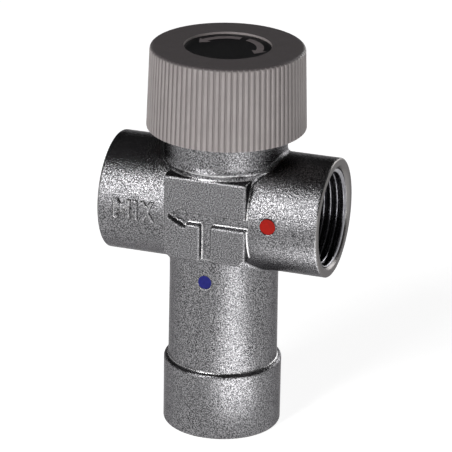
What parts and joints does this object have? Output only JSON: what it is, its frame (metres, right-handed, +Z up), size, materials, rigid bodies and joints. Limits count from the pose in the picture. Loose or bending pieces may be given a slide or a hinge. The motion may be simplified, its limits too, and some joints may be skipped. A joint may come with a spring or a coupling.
{
  "type": "thermostatic mixing valve",
  "caption": "Temperature-controlled water mixing valve: plated brass body with level hot and mix ports, cold inlet below, and a ribbed grey knob on top.",
  "frame": {"origin": "centre of the cold inlet's face at the bottom, on the axis of the knob and of the cold inlet", "axes": "+Z up along the knob's axis, +X towards the hot inlet, -X towards the mixed outlet, -Y to the front with the flow arrow"},
  "size_m": [0.061, 0.0424, 0.1066],
  "materials": {
    "plated_brass": "nickel plated, shot blasted casting",
    "brass": "turned",
    "cage_plastic": "moulded",
    "spool_plastic": "moulded, smooth",
    "steel": "bright stainless",
    "knob_plastic": "warm grey, ribbed",
    "dial_plastic": "black, printed",
    "red_enamel": "enamel",
    "blue_enamel": "enamel",
    "rubber": "moulded",
    "washer_plastic": "low-friction"
  },
  "bodies": {
    "housing": {"valve_body": "plated_brass", "bonnet": "brass", "bonnet_o_ring": "rubber", "cage": "cage_plastic", "cage_upper_o_ring": "rubber", "cage_lower_o_ring": "rubber", "cage_plug": "cage_plastic", "return_spring": "steel", "hot_mark": "red_enamel", "cold_mark": "blue_enamel", "thrust_washer": "washer_plastic"},
    "control": {"knob": "knob_plastic", "dial_disc": "dial_plastic", "knob_screw": "steel", "spindle": "brass", "spindle_lower_o_ring": "rubber", "spindle_upper_o_ring": "rubber", "spindle_circlip": "steel"},
    "setting_nut": {"adjuster": "brass", "overload_spring": "steel", "overload_circlip": "steel"},
    "relief": {"overload_cup": "brass", "element_piston": "steel"},
    "shuttle": {"spool": "spool_plastic", "element_body": "brass"}
  },
  "joints": [
    {"name": "knob_turn", "type": "hinge", "parent": "housing", "child": "control", "pos_m": [0, 0, 0.1], "axis": [0, 0, 1], "range_deg": [-150, 150]},
    {"name": "setting_slide", "type": "slide", "parent": "housing", "child": "setting_nut", "axis": [0, 0, 1], "range_m": [-0.00125, 0.00125]},
    {"name": "relief_slide", "type": "slide", "parent": "setting_nut", "child": "relief", "axis": [0, 0, 1], "range_m": [0, 0.0012], "stiffness_N_per_m": 8000, "deforming": ["overload_spring"]},
    {"name": "thermal_slide", "type": "slide", "parent": "relief", "child": "shuttle", "axis": [0, 0, 1], "range_m": [-0.002, 0.002], "stiffness_N_per_m": 2000, "deforming": ["return_spring"]}
  ],
  "couplings": [
    {"joint": "knob_turn", "follows": "setting_slide", "rad_per_m": 2094}
  ]
}
